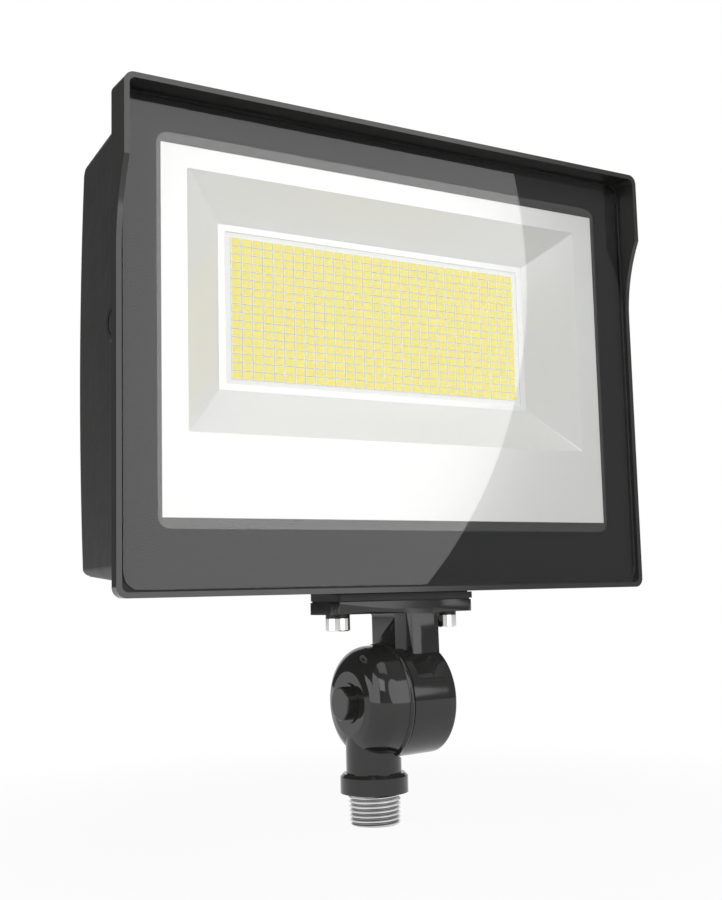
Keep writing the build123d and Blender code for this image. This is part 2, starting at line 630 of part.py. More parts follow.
HEAD_NODES = {
    "front_frame": front_frame,
    "glass_lens": glass_lens,
    "lens_gasket": lens_gasket,
    "reflector": reflector,
    "led_board": lambda: board_sheet(BOARD_FRONT, BOARD_T),
    "thermal_pad": lambda: board_sheet(BOARD_FRONT + BOARD_T, PAD_T),
    "board_screws": board_screws,
    "board_plug": board_plug,
    "rear_housing": rear_housing,
    "frame_gasket": frame_gasket,
    "frame_screws": frame_screws,
    "vent_plug": vent_plug,
    "vent_ring": vent_ring,
    "driver": driver,
    "driver_screws": driver_screws,
    "terminal_block": terminal_block,
    "ground_screw": ground_screw,
    "wire_grommet": wire_grommet,
}

KNUCKLE_NODES = {
    "flange_gasket": flange_gasket,
    "upper_knuckle": upper_knuckle,
    "flange_screws": flange_screws,
    "flange_washers": flange_washers,
    "lower_knuckle": lower_knuckle,
    "knuckle_seal": knuckle_seal,
    "pivot_bolt": pivot_bolt,
    "pivot_washer": pivot_washer,
    "pivot_nut": pivot_nut,
    "threaded_nipple": threaded_nipple,
}


def write(name, shape):
    if isinstance(shape, list):
        shape = Compound(children=shape)
    export_step(shape, f"parts/{name}.step")


os.makedirs("parts", exist_ok=True)
for name, make in HEAD_NODES.items():
    made = make()
    write(name, [on_head(s) for s in made] if isinstance(made, list) else on_head(made))
for name, make in KNUCKLE_NODES.items():
    write(name, make())
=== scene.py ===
"""LED floodlight on a tilting knuckle: finishes, small details, camera and light."""

from math import atan2, cos, pi, radians

import bmesh
import bpy
from mathutils import Matrix, Vector


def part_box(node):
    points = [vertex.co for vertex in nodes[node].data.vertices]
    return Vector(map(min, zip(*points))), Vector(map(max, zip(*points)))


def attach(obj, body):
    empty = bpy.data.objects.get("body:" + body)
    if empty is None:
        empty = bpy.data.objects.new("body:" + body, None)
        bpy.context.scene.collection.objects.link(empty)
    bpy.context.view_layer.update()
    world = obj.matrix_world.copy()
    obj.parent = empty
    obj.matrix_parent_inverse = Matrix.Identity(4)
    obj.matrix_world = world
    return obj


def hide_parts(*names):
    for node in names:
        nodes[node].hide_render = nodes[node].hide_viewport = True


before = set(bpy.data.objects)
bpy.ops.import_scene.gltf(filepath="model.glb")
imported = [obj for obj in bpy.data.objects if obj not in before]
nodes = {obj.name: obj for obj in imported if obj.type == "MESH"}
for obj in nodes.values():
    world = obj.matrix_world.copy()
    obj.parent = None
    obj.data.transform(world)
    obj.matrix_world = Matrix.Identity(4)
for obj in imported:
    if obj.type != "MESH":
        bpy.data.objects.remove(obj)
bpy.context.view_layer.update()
MM = 0.001

# Camera. The lens and the place come from the window, frame and collar edges of the photograph:
# a head turned 31 degrees, seen from a little below.
camera_data = bpy.data.cameras.new("photo_camera")
camera = bpy.data.objects.new("photo_camera", camera_data)
bpy.context.scene.collection.objects.link(camera)
bpy.context.scene.camera = camera
camera_data.sensor_fit = "AUTO"
camera_data.sensor_width = 36.0
camera_data.lens = 36.0 * 1232.5 / 900
camera_data.clip_start = 0.02
camera_data.clip_end = 50.0
CAMERA_YAW = radians(-31.363)
CAMERA_PITCH = radians(6.740)
CAMERA_ROLL = radians(-1.397)
CAMERA_PLACE = Vector((-0.26600, -0.43240, 0.07820))
aim = Matrix.Rotation(CAMERA_YAW, 4, "Z") @ Matrix.Rotation(pi / 2 + CAMERA_PITCH, 4, "X")
camera.matrix_world = Matrix.Translation(CAMERA_PLACE) @ aim @ Matrix.Rotation(CAMERA_ROLL, 4, "Z")


def shader(name, colour, roughness, metallic=0.0):
    """New node material with its plain values set; returns it with its nodes, links and main shader."""
    material = bpy.data.materials.new(name)
    material.use_nodes = True
    tree = material.node_tree
    main = tree.nodes["Principled BSDF"]
    main.inputs["Base Color"].default_value = (*colour, 1.0)
    main.inputs["Roughness"].default_value = roughness
    main.inputs["Metallic"].default_value = metallic
    material.diffuse_color = (*colour, 1.0)
    return material, tree, main


def link(tree, source, output, target, entry):
    tree.links.new(source.outputs[output], target.inputs[entry])


def noise(tree, scale, detail=2.0, rough=0.5, stretch=(1, 1, 1)):
    """Noise in the object's own metres."""
    place = tree.nodes.new("ShaderNodeTexCoord")
    turn = tree.nodes.new("ShaderNodeMapping")
    turn.inputs["Scale"].default_value = stretch
    grain = tree.nodes.new("ShaderNodeTexNoise")
    grain.inputs["Scale"].default_value = scale
    grain.inputs["Detail"].default_value = detail
    grain.inputs["Roughness"].default_value = rough
    link(tree, place, "Object", turn, "Vector")
    link(tree, turn, "Vector", grain, "Vector")
    return grain


def ramp(tree, source, output, stops):
    """Colour ramp from (place, grey or colour) stops."""
    node = tree.nodes.new("ShaderNodeValToRGB")
    for i, (place, value) in enumerate(stops):
        stop = node.color_ramp.elements[i] if i < 2 else node.color_ramp.elements.new(place)
        stop.position = place
        colour = value if isinstance(value, tuple) else (value, value, value)
        stop.color = (*colour, 1.0)
    link(tree, source, output, node, "Fac")
    return node


def bump(tree, main, source, output, strength, distance):
    node = tree.nodes.new("ShaderNodeBump")
    node.inputs["Strength"].default_value = strength
    node.inputs["Distance"].default_value = distance
    link(tree, source, output, node, "Height")
    link(tree, node, "Normal", main, "Normal")
    return node


def dress(material, *names):
    """Gives CAD nodes a finish."""
    for name in names:
        slots = nodes[name].data.materials
        slots.clear()
        slots.append(material)


# Frame and hood. An aluminium die casting under a smooth bronze-grey powder coat; its front edge is
# glossy enough to mirror the softbox, with a fine orange-peel skin.
frame_coat, tree, main = shader("frame_coat", (0.030, 0.0295, 0.0285), 0.14)
shades = [(0.3, (0.028, 0.0275, 0.0268)), (0.7, (0.032, 0.0315, 0.0305))]
tone = ramp(tree, noise(tree, 60.0, 4.0), "Fac", shades)
link(tree, tone, "Color", main, "Base Color")
worn = ramp(tree, noise(tree, 140.0, 3.0), "Fac", [(0.25, 0.13), (0.75, 0.17)])
link(tree, worn, "Color", main, "Roughness")
bump(tree, main, noise(tree, 900.0, 3.0), "Fac", 0.04, 0.00005)
dress(frame_coat, "front_frame")

# Rear housing and mounting pad. One aluminium die casting with upright cooling fins and a level foot,
# in the same colour but duller, because the thick ribs leave its coat rougher.
coat, tree, main = shader("housing_coat", (0.022, 0.0215, 0.021), 0.45)
main.inputs["Specular IOR Level"].default_value = 0.3
shades = [(0.3, (0.020, 0.0195, 0.019)), (0.7, (0.024, 0.0235, 0.023))]
tone = ramp(tree, noise(tree, 60.0, 4.0), "Fac", shades)
link(tree, tone, "Color", main, "Base Color")
worn = ramp(tree, noise(tree, 140.0, 3.0), "Fac", [(0.25, 0.42), (0.75, 0.50)])
link(tree, worn, "Color", main, "Roughness")
bump(tree, main, noise(tree, 900.0, 3.0), "Fac", 0.10, 0.0001)
dress(coat, "rear_housing")

# Knuckle castings. Two small die castings in the same colour, with a smooth and glossy skin that
# shows each lamp of the studio with a crisp edge.
gloss_coat, tree, main = shader("knuckle_coat", (0.018, 0.0177, 0.0172), 0.08)
shades = [(0.3, (0.017, 0.0167, 0.0162)), (0.7, (0.019, 0.0187, 0.0182))]
tone = ramp(tree, noise(tree, 90.0, 3.0), "Fac", shades)
link(tree, tone, "Color", main, "Base Color")
bump(tree, main, noise(tree, 700.0, 2.0), "Fac", 0.03, 0.00005)
dress(gloss_coat, "upper_knuckle", "lower_knuckle")

# Glass. A flat tempered pane with plain polished faces, dropped into the frame on its bead. It
# bends what is seen through it, and lets light that only brightens the reflector go straight through.
glass, tree, main = shader("clear_glass", (1.0, 1.0, 1.0), 0.0)
main.inputs["Transmission Weight"].default_value = 1.0
main.inputs["IOR"].default_value = 1.5
output = tree.nodes["Material Output"]
clear = tree.nodes.new("ShaderNodeBsdfTransparent")
clear.inputs["Color"].default_value = (0.96, 0.97, 0.965, 1.0)
path = tree.nodes.new("ShaderNodeLightPath")
straight = tree.nodes.new("ShaderNodeMath")
straight.operation = "MAXIMUM"
link(tree, path, "Is Shadow Ray", straight, 0)
link(tree, path, "Is Diffuse Ray", straight, 1)
either = tree.nodes.new("ShaderNodeMixShader")
link(tree, straight, "Value", either, "Fac")
tree.links.new(main.outputs["BSDF"], either.inputs[1])
tree.links.new(clear.outputs["BSDF"], either.inputs[2])
link(tree, either, "Shader", output, "Surface")
dress(glass, "glass_lens")

# Enamel border. Black ceramic ink fired on the back of the pane, with a sharp-cornered clear
# window; it hides the ledge, the bead and the edge of the reflector.
GLASS_LOW, GLASS_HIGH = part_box("glass_lens")
WINDOW_HALF_W = 106.2 * MM
WINDOW_HALF_H = 70.9 * MM
WINDOW_X = 10.8 * MM
WINDOW_Z = 179.1 * MM
ENAMEL_BACK_OFF = 0.05 * MM
ENAMEL_T = 0.04 * MM


def select_none():
    bpy.ops.object.select_all(action="DESELECT")


def settle(piece, name):
    """Names a piece and puts its place into its mesh."""
    select_none()
    bpy.context.view_layer.objects.active = piece
    piece.select_set(True)
    bpy.ops.object.transform_apply(location=True, rotation=True, scale=True)
    piece.name = name
    piece.data.name = name
    return piece


def pick_faces(piece, wanted):
    """Selects only the faces that wanted(centre, normal) accepts, in edit mode."""
    bpy.ops.mesh.select_mode(type="FACE")
    bpy.ops.mesh.select_all(action="DESELECT")
    mesh = bmesh.from_edit_mesh(piece.data)
    for face in mesh.faces:
        if wanted(face.calc_center_median(), face.normal):
            face.select_set(True)
    bmesh.update_edit_mesh(piece.data)


def add_material(piece, material):
    piece.data.materials.clear()
    piece.data.materials.append(material)


select_none()
ENAMEL_EDGE_IN = 0.4 * MM
ENAMEL_CORNER_R = 6.0 * MM
pane_half_w = (GLASS_HIGH.x - GLASS_LOW.x) / 2
pane_half_h = (GLASS_HIGH.z - GLASS_LOW.z) / 2
enamel_middle = (GLASS_LOW + GLASS_HIGH) / 2
enamel_middle.y = GLASS_HIGH.y + ENAMEL_BACK_OFF
bpy.ops.mesh.primitive_plane_add(size=2, location=enamel_middle, rotation=(pi / 2, 0, 0))
border = bpy.context.object
border.scale = (pane_half_w - ENAMEL_EDGE_IN, pane_half_h - ENAMEL_EDGE_IN, 1)
settle(border, "enamel_border")
bpy.ops.object.mode_set(mode="EDIT")
bpy.ops.mesh.select_all(action="SELECT")
bpy.ops.mesh.bevel(offset=ENAMEL_CORNER_R, offset_type="WIDTH", segments=6, affect="VERTICES")
for side in (-1, 1):
    bpy.ops.mesh.select_all(action="SELECT")
    place = (WINDOW_X + side * WINDOW_HALF_W, 0, 0)
    bpy.ops.mesh.bisect(plane_co=place, plane_no=(1, 0, 0))
    bpy.ops.mesh.select_all(action="SELECT")
    place = (0, 0, WINDOW_Z + side * WINDOW_HALF_H)
    bpy.ops.mesh.bisect(plane_co=place, plane_no=(0, 0, 1))
pick_faces(border, lambda c, n: abs(c.x - WINDOW_X) < WINDOW_HALF_W and abs(c.z - WINDOW_Z) < WINDOW_HALF_H)
bpy.ops.mesh.delete(type="FACE")
bpy.ops.object.mode_set(mode="OBJECT")
ink = border.modifiers.new("ink", "SOLIDIFY")
ink.thickness = ENAMEL_T
ink.offset = 0
bpy.ops.object.modifier_apply(modifier="ink")
enamel, tree, main = shader("black_enamel", (0.004, 0.004, 0.004), 0.5)
tone = ramp(tree, noise(tree, 500.0), "Fac", [(0.3, 0.0035), (0.7, 0.0045)])
link(tree, tone, "Color", main, "Base Color")
add_material(border, enamel)
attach(border, "lamp_head")

# Reflector. One pressed sheet with a glossy white coat: a flat face behind the window, which mirrors
# the softbox faintly, and a well with four sloping sides that ends on the board.
white, tree, main = shader("reflector_white", (0.72, 0.715, 0.70), 0.16)
main.inputs["IOR"].default_value = 1.8
main.inputs["Specular IOR Level"].default_value = 1.0
speck = ramp(tree, noise(tree, 1500.0, 4.0), "Fac", [(0.3, (0.71, 0.705, 0.69)), (0.7, (0.74, 0.735, 0.72))])
link(tree, speck, "Color", main, "Base Color")
bump(tree, main, noise(tree, 2200.0, 2.0), "Fac", 0.04, 0.00003)
dress(white, "reflector")

# Light board. Aluminium-core board with a white solder mask, held by six screws.
mask, tree, main = shader("white_mask", (0.82, 0.82, 0.80), 0.35)
tone = ramp(tree, noise(tree, 300.0), "Fac", [(0.3, (0.81, 0.81, 0.79)), (0.7, (0.84, 0.84, 0.82))])
link(tree, tone, "Color", main, "Base Color")
dress(mask, "led_board")

# Light packages. Low white housings in a grid on the board, each with a pool of yellow phosphor;
# one is modelled and the rest are copies of its mesh, soldered down in rows.
BOARD_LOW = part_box("led_board")[0]
PACKAGES_ACROSS = 30
PACKAGES_UP = 17
ARRAY_X = 10.8 * MM
ARRAY_Z = (179.1 + 13.8) * MM
PITCH_X = 4.72 * MM
PITCH_Z = 3.376 * MM
PACKAGE_W = 4.35 * MM
PACKAGE_H = 3.16 * MM
PACKAGE_T = 0.65 * MM
POOL_W = 3.98 * MM
POOL_H = 2.94 * MM
POOL_DEEP = 0.05 * MM
select_none()
bpy.ops.mesh.primitive_cube_add(size=1, location=(0, BOARD_LOW.y - PACKAGE_T / 2, 0))
package = bpy.context.object
package.scale = (PACKAGE_W, PACKAGE_T, PACKAGE_H)
settle(package, "light_packages")
bpy.ops.object.mode_set(mode="EDIT")
pick_faces(package, lambda c, n: n.y < -0.5)
bpy.ops.mesh.inset(thickness=(PACKAGE_W - POOL_W) / 2)
mesh = bmesh.from_edit_mesh(package.data)
for v in mesh.verts:
    if v.select:
        v.co.z = POOL_H / 2 if v.co.z > 0 else -POOL_H / 2
bmesh.update_edit_mesh(package.data)
bpy.ops.mesh.extrude_region_move(TRANSFORM_OT_translate={"value": (0, POOL_DEEP, 0)})
pick_faces(package, lambda c, n: n.y > 0.5)
bpy.ops.mesh.delete(type="FACE")
bpy.ops.object.mode_set(mode="OBJECT")
housing_white, tree, main = shader("package_white", (0.88, 0.88, 0.86), 0.4)
tone = ramp(tree, noise(tree, 800.0), "Fac", [(0.3, (0.87, 0.87, 0.85)), (0.7, (0.9, 0.9, 0.88))])
link(tree, tone, "Color", main, "Base Color")
phosphor, tree, main = shader("yellow_phosphor", (0.84, 0.71, 0.02), 0.35)
tone = ramp(tree, noise(tree, 2500.0, 4.0), "Fac", [(0.3, (0.82, 0.69, 0.015)), (0.7, (0.86, 0.73, 0.025))])
link(tree, tone, "Color", main, "Base Color")
add_material(package, housing_white)
package.data.materials.append(phosphor)
for face in package.data.polygons:
    pool = abs(face.center.x) < POOL_W / 8 and abs(face.center.z) < POOL_H / 8 and face.normal.y < -0.5
    face.material_index = 1 if pool else 0
copies = [package]
for across in range(PACKAGES_ACROSS):
    for up in range(PACKAGES_UP):
        x = ARRAY_X + (across - (PACKAGES_ACROSS - 1) / 2) * PITCH_X
        z = ARRAY_Z + (up - (PACKAGES_UP - 1) / 2) * PITCH_Z
        if across == 0 and up == 0:
            first_place = (x, 0, z)
            continue
        copy = package.copy()
        copy.data = package.data.copy()
        copy.location = (x, 0, z)
        bpy.context.scene.collection.objects.link(copy)
        copies.append(copy)
package.location = first_place
select_none()
for copy in copies:
    copy.select_set(True)
bpy.context.view_layer.objects.active = package
bpy.ops.object.join()
settle(package, "light_packages")
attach(package, "lamp_head")

# Rubber and plastic inside and between the castings: black silicone seals, a grey heat sheet,
# a nylon breather plug and off-white connectors.
silicone, tree, main = shader("black_silicone", (0.012, 0.012, 0.012), 0.6)
bump(tree, main, noise(tree, 1200.0, 3.0), "Fac", 0.15, 0.0001)
dress(silicone, "lens_gasket", "frame_gasket", "vent_ring", "wire_grommet", "flange_gasket", "knuckle_seal")
heat_sheet, tree, main = shader("grey_heat_sheet", (0.30, 0.32, 0.35), 0.7)
bump(tree, main, noise(tree, 1500.0), "Fac", 0.1, 0.0001)
dress(heat_sheet, "thermal_pad")
nylon, tree, main = shader("black_nylon", (0.022, 0.022, 0.022), 0.45)
bump(tree, main, noise(tree, 1800.0), "Fac", 0.1, 0.00005)
dress(nylon, "vent_plug")
pale_nylon, tree, main = shader("pale_nylon", (0.75, 0.73, 0.66), 0.45)
bump(tree, main, noise(tree, 1500.0), "Fac", 0.08, 0.00005)
dress(pale_nylon, "board_plug", "terminal_block")

# Driver. A plain brushed aluminium case on the bay's floor, with its two screws and an earth screw.
case_metal, tree, main = shader("case_aluminium", (0.60, 0.60, 0.61), 0.35, 1.0)
brushed = noise(tree, 900.0, 3.0, 0.6, (0.03, 1, 1))
tone = ramp(tree, brushed, "Fac", [(0.3, 0.30), (0.7, 0.42)])
link(tree, tone, "Color", main, "Roughness")
dress(case_metal, "driver")
zinc, tree, main = shader("bright_zinc", (0.62, 0.62, 0.62), 0.25, 1.0)
tone = ramp(tree, noise(tree, 700.0, 3.0), "Fac", [(0.3, 0.2), (0.7, 0.32)])
link(tree, tone, "Color", main, "Roughness")
dress(zinc, "board_screws", "driver_screws")
green_zinc, tree, main = shader("green_zinc", (0.03, 0.25, 0.08), 0.3, 0.6)
tone = ramp(tree, noise(tree, 700.0, 3.0), "Fac", [(0.3, 0.25), (0.7, 0.35)])
link(tree, tone, "Color", main, "Roughness")
dress(green_zinc, "ground_screw")

# Socket screws, nut, bolt and washers. Bright stainless steel with faint turning marks; the washers
# under the flange screws are dark spring steel, and the pivot bolt is coated like the knuckle.
stainless, tree, main = shader("bright_stainless", (0.78, 0.78, 0.77), 0.12, 1.0)
tone = ramp(tree, noise(tree, 900.0, 3.0, 0.6, (1, 1, 0.1)), "Fac", [(0.3, 0.08), (0.7, 0.18)])
link(tree, tone, "Color", main, "Roughness")
dress(stainless, "flange_screws", "frame_screws", "pivot_nut", "pivot_washer")
spring_steel, tree, main = shader("dark_spring_steel", (0.03, 0.03, 0.03), 0.35, 0.7)
tone = ramp(tree, noise(tree, 900.0, 3.0), "Fac", [(0.3, 0.3), (0.7, 0.42)])
link(tree, tone, "Color", main, "Roughness")
dress(spring_steel, "flange_washers")
dress(gloss_coat, "pivot_bolt")

# Threaded nipple. Bright zinc-plated steel; a tapered half-inch pipe thread is cut on the end below
# the collar, and a plain shank above it is pressed into the stem.
THREAD_R = 10.6 * MM
THREAD_DEEP = 1.15 * MM
THREAD_PITCH = 1.814 * MM
THREAD_L = 12.4 * MM
THREAD_TAPER = 1 / 32
LEAD = 0.8 * MM
SHANK_R = 9.4 * MM
SHANK_TOP = 11.0 * MM
BORE_R = 7.6 * MM
FLAT = 0.12 * MM
TURNS = 10
STEPS_A_TURN = 48
BAR_SPARE = 0.5 * MM
select_none()
bpy.ops.mesh.primitive_plane_add(size=1, location=(0, 0, 0))
thread = bpy.context.object
bpy.ops.object.mode_set(mode="EDIT")
bpy.ops.mesh.select_all(action="SELECT")
bpy.ops.mesh.delete(type="VERT")
mesh = bmesh.from_edit_mesh(thread.data)
crest = THREAD_PITCH / 2
tooth = [(-THREAD_DEEP, FLAT), (0, crest - FLAT), (0, crest + FLAT), (-THREAD_DEEP, THREAD_PITCH - FLAT),
         (-THREAD_DEEP, THREAD_PITCH + FLAT)]
points = [mesh.verts.new((THREAD_R + out, 0, up - THREAD_L - 2 * THREAD_PITCH)) for out, up in tooth]
for i in range(len(points) - 1):
    mesh.edges.new((points[i], points[i + 1]))
bmesh.update_edit_mesh(thread.data)
bpy.ops.object.mode_set(mode="OBJECT")
helix = thread.modifiers.new("helix", "SCREW")
helix.axis = "Z"
helix.angle = 2 * pi
helix.screw_offset = THREAD_PITCH
helix.iterations = TURNS
helix.steps = STEPS_A_TURN
helix.render_steps = STEPS_A_TURN
helix.use_merge_vertices = True
helix.merge_threshold = 0.01 * MM
bpy.ops.object.modifier_apply(modifier="helix")
bpy.ops.object.mode_set(mode="EDIT")
bpy.ops.mesh.select_all(action="SELECT")
bpy.ops.mesh.remove_doubles(threshold=0.005 * MM)
bpy.ops.mesh.select_all(action="SELECT")
bpy.ops.mesh.bisect(plane_co=(0, 0, -THREAD_L), plane_no=(0, 0, 1), use_fill=True, clear_inner=True)
bpy.ops.mesh.select_all(action="SELECT")
bpy.ops.mesh.bisect(plane_co=(0, 0, -0.02 * MM), plane_no=(0, 0, 1), use_fill=True, clear_outer=True)
bpy.ops.mesh.select_all(action="SELECT")
bpy.ops.mesh.normals_make_consistent(inside=False)
bpy.ops.object.mode_set(mode="OBJECT")


def tool(name, radius, low, high, sides=96):
    """Round bar about the nipple's axis, to cut or join with."""
    select_none()
    bpy.ops.mesh.primitive_cylinder_add(vertices=sides, radius=radius, depth=high - low,
                                        location=(0, 0, (low + high) / 2))
    return settle(bpy.context.object, name)


def cut(piece, bar, operation):
    """Cuts or joins a bar with a piece and removes the bar."""
    select_none()
    bpy.context.view_layer.objects.active = piece
    step = piece.modifiers.new("step", "BOOLEAN")
    step.operation = operation
    step.solver = "EXACT"
    step.object = bar
    bpy.ops.object.modifier_apply(modifier="step")
    bpy.data.objects.remove(bar)


blank = tool("blank", THREAD_R + BAR_SPARE, -THREAD_L, SHANK_TOP)
bpy.ops.object.mode_set(mode="EDIT")
pick_faces(blank, lambda c, n: n.z < -0.5)
bpy.ops.transform.resize(value=((THREAD_R - LEAD) / (THREAD_R + BAR_SPARE),) * 2 + (1,))
bpy.ops.object.mode_set(mode="OBJECT")
for v in blank.data.vertices:
    if v.co.z > 0:
        v.co.z = LEAD + 0.5 * MM - THREAD_L
cone_top = tool("cone_top", THREAD_R + BAR_SPARE, LEAD + 0.4 * MM - THREAD_L, SHANK_TOP)
cut(blank, cone_top, "UNION")
cut(thread, blank, "INTERSECT")
cut(thread, tool("shank", SHANK_R, 0.3 * MM - THREAD_L, SHANK_TOP), "UNION")
cut(thread, tool("bore", BORE_R, -2 * THREAD_L, 2 * THREAD_L), "DIFFERENCE")
for v in thread.data.vertices:
    if v.co.z < -0.03 * MM and v.co.xy.length > SHANK_R - 0.5 * MM:
        shrink = 1 + v.co.z * THREAD_TAPER / v.co.xy.length
        v.co.x *= shrink
        v.co.y *= shrink
settle(thread, "pipe_thread")
select_none()
thread.select_set(True)
bpy.context.view_layer.objects.active = thread
bpy.ops.object.shade_smooth_by_angle(angle=radians(25))
nipple_zinc, tree, main = shader("nipple_zinc", (0.66, 0.65, 0.63), 0.30, 1.0)
tone = ramp(tree, noise(tree, 300.0, 2.0), "Fac", [(0.3, 0.28), (0.7, 0.34)])
link(tree, tone, "Color", main, "Roughness")
# Painted shade: the base colour runs from dark at the thread roots to bright at the crests, standing in for
# the shadow inside the grooves.
place = tree.nodes.new("ShaderNodeTexCoord")
flat = tree.nodes.new("ShaderNodeVectorMath")
flat.operation = "MULTIPLY"
flat.inputs[1].default_value = (1, 1, 0)
link(tree, place, "Object", flat, "Vector")
out = tree.nodes.new("ShaderNodeVectorMath")
out.operation = "LENGTH"
link(tree, flat, "Vector", out, "Vector")
depth = tree.nodes.new("ShaderNodeMapRange")
depth.inputs["From Min"].default_value = THREAD_R - THREAD_DEEP
depth.inputs["From Max"].default_value = THREAD_R
link(tree, out, "Value", depth, "Value")
painted_groove_shade = ramp(tree, depth, "Result", [(0.0, 0.30), (0.55, 0.86)])
link(tree, painted_groove_shade, "Color", main, "Base Color")
add_material(thread, nipple_zinc)
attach(thread, "knuckle_base")
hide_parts("threaded_nipple")

# Upper knuckle. One die casting: the drum, the flange and, between them, a neck made of a flat web
# with a thicker boss that swells towards the drum on both faces; hollow curves lead into the flange.
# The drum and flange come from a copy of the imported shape, with a new neck in place of its plainer one.
DRUM_R = 22.1 * MM
HINGE_Z = 35.6 * MM
FLANGE_FOOT = 70.9 * MM
FLANGE_TOP = 75.8 * MM
FLANGE_HALF_D = 10.6 * MM
NECK_SPAN = (9.5 * MM, 25.6 * MM)
NECK_LOW_Z = 50.0 * MM
WEB_LEFT = 6.2 * MM
WEB_RIGHT = 26.7 * MM
WEB_HALF_D = 8.8 * MM
BOSS_TOP_Z = 74.3 * MM
BOSS_LOW = ((13.2, 12.0), (15.1, 13.5), (24.3, 11.3), (26.7, 10.3))
BOSS_TOP = ((11.6, 8.65), (13.35, 10.45), (24.3, 10.45), (26.7, 9.75))
WIREWAY_X = 15.2 * MM
WIREWAY_R = 5.0 * MM
FILLET_RIGHT = 4.5 * MM
FILLET_LEFT = 1.5 * MM
WIREWAY_L = 35 * MM
WIREWAY_MIDDLE_Z = 62 * MM
CUT_LOW_Z = 45 * MM
CUT_HALF_D = 25 * MM
OVERLAP = 0.5 * MM


def slab(name, low, high):
    """Square block between two corners."""
    select_none()
    middle = [(a + b) / 2 for a, b in zip(low, high)]
    bpy.ops.mesh.primitive_cube_add(size=1, location=middle)
    bpy.context.object.scale = [b - a for a, b in zip(low, high)]
    return settle(bpy.context.object, name)


def fillet_block(name, x, side, radius):
    """Block under the flange with its lower outer edge hollowed by a round bar."""
    far = x + side * radius
    piece = slab(name, (min(x - side * MM, far), -WEB_HALF_D, FLANGE_FOOT - radius),
                 (max(x - side * MM, far), WEB_HALF_D, FLANGE_FOOT + OVERLAP))
    select_none()
    bpy.ops.mesh.primitive_cylinder_add(vertices=96, radius=radius, depth=0.05,
                                        location=(far, 0, FLANGE_FOOT - radius), rotation=(pi / 2, 0, 0))
    cut(piece, settle(bpy.context.object, "hollow"), "DIFFERENCE")
    return piece


source = nodes["upper_knuckle"]
knuckle = bpy.data.objects.new("knuckle_casting", source.data.copy())
knuckle.matrix_world = source.matrix_world
bpy.context.scene.collection.objects.link(knuckle)
settle(knuckle, "knuckle_casting")
bpy.ops.object.mode_set(mode="EDIT")
bpy.ops.mesh.select_all(action="SELECT")
bpy.ops.mesh.remove_doubles(threshold=0.0005 * MM)
bpy.ops.object.mode_set(mode="OBJECT")
gap = slab("gap", (NECK_SPAN[0], -CUT_HALF_D, CUT_LOW_Z), (NECK_SPAN[1], CUT_HALF_D, FLANGE_FOOT))
select_none()
bpy.ops.mesh.primitive_cylinder_add(vertices=256, radius=DRUM_R, depth=0.1, location=(0.02, 0, HINGE_Z),
                                    rotation=(0, pi / 2, 0))
cut(gap, settle(bpy.context.object, "drum_bar"), "DIFFERENCE")
cut(knuckle, gap, "DIFFERENCE")
for side in (-1, 1):
    near, far = sorted((side * FLANGE_HALF_D, side * CUT_HALF_D))
    cut(knuckle, slab("shoulder", (NECK_SPAN[0] - MM, near, FLANGE_FOOT - MM),
                      (NECK_SPAN[1] + MM, far, FLANGE_TOP + MM)), "DIFFERENCE")
select_none()
bpy.ops.mesh.primitive_cylinder_add(vertices=8, radius=0.01, depth=0.01)
boss = settle(bpy.context.object, "boss")
ring = BOSS_LOW + tuple((x, -y) for x, y in reversed(BOSS_LOW))
ring_top = BOSS_TOP + tuple((x, -y) for x, y in reversed(BOSS_TOP))
for top, z, outline in ((False, NECK_LOW_Z, ring), (True, BOSS_TOP_Z, ring_top)):
    corners = [v for v in boss.data.vertices if (v.co.z > 0) == top]
    for v, (x, y) in zip(sorted(corners, key=lambda v: atan2(v.co.y, v.co.x), reverse=True),
                         outline[3::-1] + outline[:3:-1]):
        v.co = (x * MM, y * MM, z)
bpy.ops.object.mode_set(mode="EDIT")
bpy.ops.mesh.select_all(action="SELECT")
bpy.ops.mesh.normals_make_consistent(inside=False)
bpy.ops.object.mode_set(mode="OBJECT")
web = slab("web", (WEB_LEFT, -WEB_HALF_D, NECK_LOW_Z), (WEB_RIGHT, WEB_HALF_D, FLANGE_FOOT + OVERLAP))
cut(knuckle, web, "UNION")
cut(knuckle, boss, "UNION")
cut(knuckle, fillet_block("right_fillet", WEB_RIGHT, 1, FILLET_RIGHT), "UNION")
cut(knuckle, fillet_block("left_fillet", WEB_LEFT, -1, FILLET_LEFT), "UNION")
select_none()
bpy.ops.mesh.primitive_cylinder_add(vertices=64, radius=WIREWAY_R, depth=WIREWAY_L,
                                    location=(WIREWAY_X, 0, WIREWAY_MIDDLE_Z))
cut(knuckle, settle(bpy.context.object, "wireway"), "DIFFERENCE")
settle(knuckle, "knuckle_casting")
bpy.ops.object.shade_smooth_by_angle(angle=radians(30))
add_material(knuckle, gloss_coat)
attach(knuckle, "lamp_head")
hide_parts("upper_knuckle")

# Floor and light. A floor of white paper that keeps a faint soft shadow close to the lamp. It and the
# wall behind the lamp are plain white as a background only; the grey wall and four softboxes give the
# light, with the round one mirrored in the glass as an arc.
SHADOW_SHARE = 0.06
SHADOW_REACH = (0.10, 0.30)


def background_rays(tree):
    """Is 1 for camera, glossy and transmission rays, and 0 for the rays that light the object."""
    path = tree.nodes.new("ShaderNodeLightPath")
    mirrored = tree.nodes.new("ShaderNodeMath")
    mirrored.operation = "MAXIMUM"
    link(tree, path, "Is Glossy Ray", mirrored, 0)
    link(tree, path, "Is Transmission Ray", mirrored, 1)
    seen = tree.nodes.new("ShaderNodeMath")
    seen.operation = "MAXIMUM"
    link(tree, path, "Is Camera Ray", seen, 0)
    link(tree, mirrored, "Value", seen, 1)
    return seen


